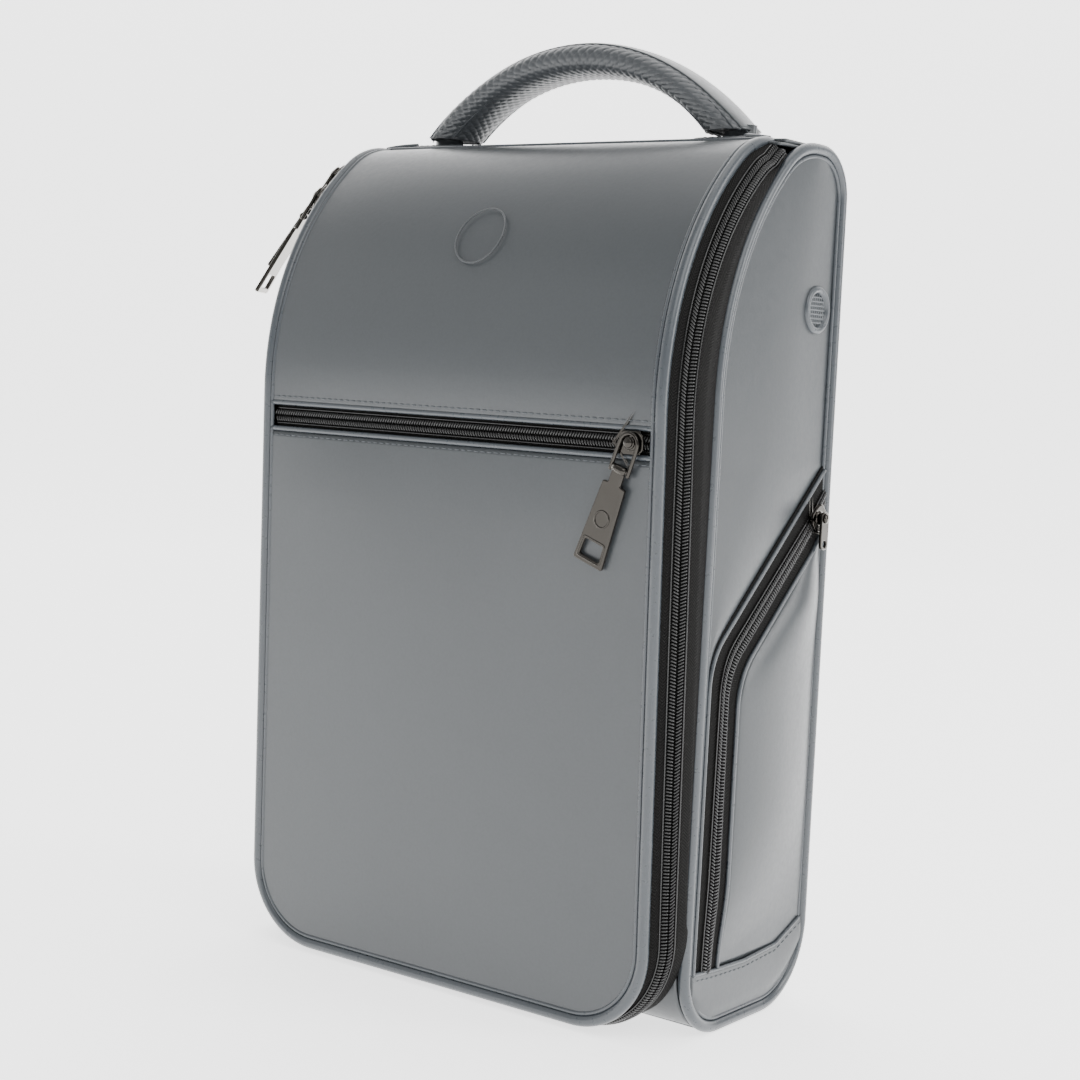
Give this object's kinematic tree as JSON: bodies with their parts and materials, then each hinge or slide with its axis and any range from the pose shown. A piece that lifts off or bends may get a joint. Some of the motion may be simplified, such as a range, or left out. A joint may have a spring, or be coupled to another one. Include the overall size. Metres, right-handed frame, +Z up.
{
  "type": "golf shoe bag",
  "caption": "Structured leather shoe bag with an arched front lid zipped round its edge, padded carry handle, zipped front pocket and slanted side pockets.",
  "frame": {"origin": "middle of the flat face the bag stands on, at floor level", "axes": "+X to the right seen from the front, -Y out of the front lid, +Z up"},
  "size_m": [0.2686, 0.1262, 0.413],
  "materials": {
    "leather": "fine grained, satin",
    "piping": "smooth, semi-gloss",
    "grip": "pebbled, matt",
    "foam": "soft foam",
    "board": "stiffener sheet",
    "lining": "plain weave",
    "zip_tape": "woven tape",
    "zip_coil": "nylon coil",
    "metal": "polished gunmetal",
    "vent_mesh": "open mesh"
  },
  "bodies": {
    "shell": {"top_panel": "leather", "back_panel": "leather", "bottom_panel": "leather", "front_sill": "leather", "base_board": "board", "back_board": "board", "rear_lining": "lining", "hinge_welt": "piping", "side_panel_right": "leather", "side_panel_left": "leather", "side_pocket_right": "leather", "side_pocket_left": "leather", "foot_band_right": "leather", "foot_band_left": "leather", "side_wall_right": "lining", "side_wall_left": "lining", "body_piping_right": "piping", "body_piping_left": "piping", "side_zip_tape_right": "zip_tape", "side_zip_tape_left": "zip_tape", "side_zip_coil_right": "zip_coil", "side_zip_coil_left": "zip_coil", "vent_ring_right": "metal", "vent_ring_left": "metal", "vent_disc_right": "vent_mesh", "vent_disc_left": "vent_mesh", "handle_tabs": "piping", "main_zip_coil_body": "zip_coil", "main_zip_tape_body": "zip_tape"},
    "handle": {"handle_cover": "leather", "handle_grip": "grip", "handle_core": "foam"},
    "lid": {"lid_upper_panel": "leather", "lid_lower_panel": "leather", "pocket_zip_tape": "zip_tape", "pocket_zip_coil": "zip_coil", "pocket_lining": "lining", "lid_board": "board", "lid_lining": "lining", "lid_piping": "piping", "main_zip_tape_lid": "zip_tape", "main_zip_coil_lid": "zip_coil"},
    "main_slider_upper": {"main_slider_upper": "metal"},
    "main_bail_upper": {"main_bail_upper": "metal"},
    "main_pull_upper": {"main_pull_upper": "metal"},
    "main_slider_lower": {"main_slider_lower": "metal"},
    "main_bail_lower": {"main_bail_lower": "metal"},
    "main_pull_lower": {"main_pull_lower": "metal"},
    "pocket_slider": {"pocket_slider": "metal"},
    "pocket_bail": {"pocket_bail": "metal"},
    "pocket_pull": {"pocket_pull": "metal"},
    "side_slider_right": {"side_slider_right": "metal"},
    "side_slider_left": {"side_slider_left": "metal"},
    "side_pull_right": {"side_pull_right": "metal"},
    "side_pull_left": {"side_pull_left": "metal"}
  },
  "joints": [
    {"name": "lid_hinge", "type": "hinge", "parent": "shell", "child": "lid", "pos_m": [0, 0.0015, 0.368], "axis": [-1, 0, 0], "range_deg": [0, 90]},
    {"name": "handle_rock", "type": "hinge", "parent": "shell", "child": "handle", "pos_m": [0, 0.0185, 0.37], "axis": [-1, 0, 0], "range_deg": [-8, 12], "stiffness_Nm_per_rad": 0.15},
    {"name": "main_slider_lower_run", "type": "hinge", "parent": "lid", "child": "main_slider_lower", "pos_m": [-0.11175, 0.061, 0.25652], "axis": [1, 0, 0], "range_deg": [0, 38]},
    {"name": "main_slider_upper_run", "type": "hinge", "parent": "lid", "child": "main_slider_upper", "pos_m": [-0.11175, 0.061, 0.25652], "axis": [1, 0, 0], "range_deg": [-1.4, 0]},
    {"name": "main_bail_lower_swing", "type": "hinge", "parent": "main_slider_lower", "child": "main_bail_lower", "pos_m": [-0.11175, -0.03203, 0.33979], "axis": [-0.7071, -0.5269, 0.4716], "range_deg": [0, 40]},
    {"name": "main_pull_lower_lift", "type": "hinge", "parent": "main_bail_lower", "child": "main_pull_lower", "pos_m": [-0.11982, -0.03712, 0.33187], "axis": [-0.5721, 0.8183, 0.0564], "range_deg": [0, 80]},
    {"name": "main_bail_upper_swing", "type": "hinge", "parent": "main_slider_upper", "child": "main_bail_upper", "pos_m": [-0.11175, -0.02136, 0.35036], "axis": [-0.7071, -0.4665, 0.5314], "range_deg": [-40, 0]},
    {"name": "main_pull_upper_lift", "type": "hinge", "parent": "main_bail_upper", "child": "main_pull_upper", "pos_m": [-0.12089, -0.02568, 0.34316], "axis": [-0.4912, 0.8646, 0.1054], "range_deg": [0, 80]},
    {"name": "pocket_slider_run", "type": "slide", "parent": "lid", "child": "pocket_slider", "axis": [-1, 0, 0], "range_m": [0, 0.18]},
    {"name": "pocket_bail_swing", "type": "hinge", "parent": "pocket_slider", "child": "pocket_bail", "pos_m": [0.0935, -0.06907, 0.24], "axis": [0, -0.9993, -0.0381], "range_deg": [-40, 40]},
    {"name": "pocket_pull_lift", "type": "hinge", "parent": "pocket_bail", "child": "pocket_pull", "pos_m": [0.08957, -0.0725, 0.22906], "axis": [-0.9397, -0.013, 0.3418], "range_deg": [0, 80]},
    {"name": "side_slider_right_run", "type": "slide", "parent": "shell", "child": "side_slider_right", "axis": [0, -0.749, -0.6626], "range_m": [0, 0.06]},
    {"name": "side_pull_right_swing", "type": "hinge", "parent": "side_slider_right", "child": "side_pull_right", "pos_m": [0.117, 0.03644, 0.20966], "axis": [1, 0, 0], "range_deg": [-40, 40]},
    {"name": "side_slider_left_run", "type": "slide", "parent": "shell", "child": "side_slider_left", "axis": [0, -0.749, -0.6626], "range_m": [0, 0.06]},
    {"name": "side_pull_left_swing", "type": "hinge", "parent": "side_slider_left", "child": "side_pull_left", "pos_m": [-0.117, 0.03644, 0.20966], "axis": [-1, 0, 0], "range_deg": [-40, 40]}
  ]
}
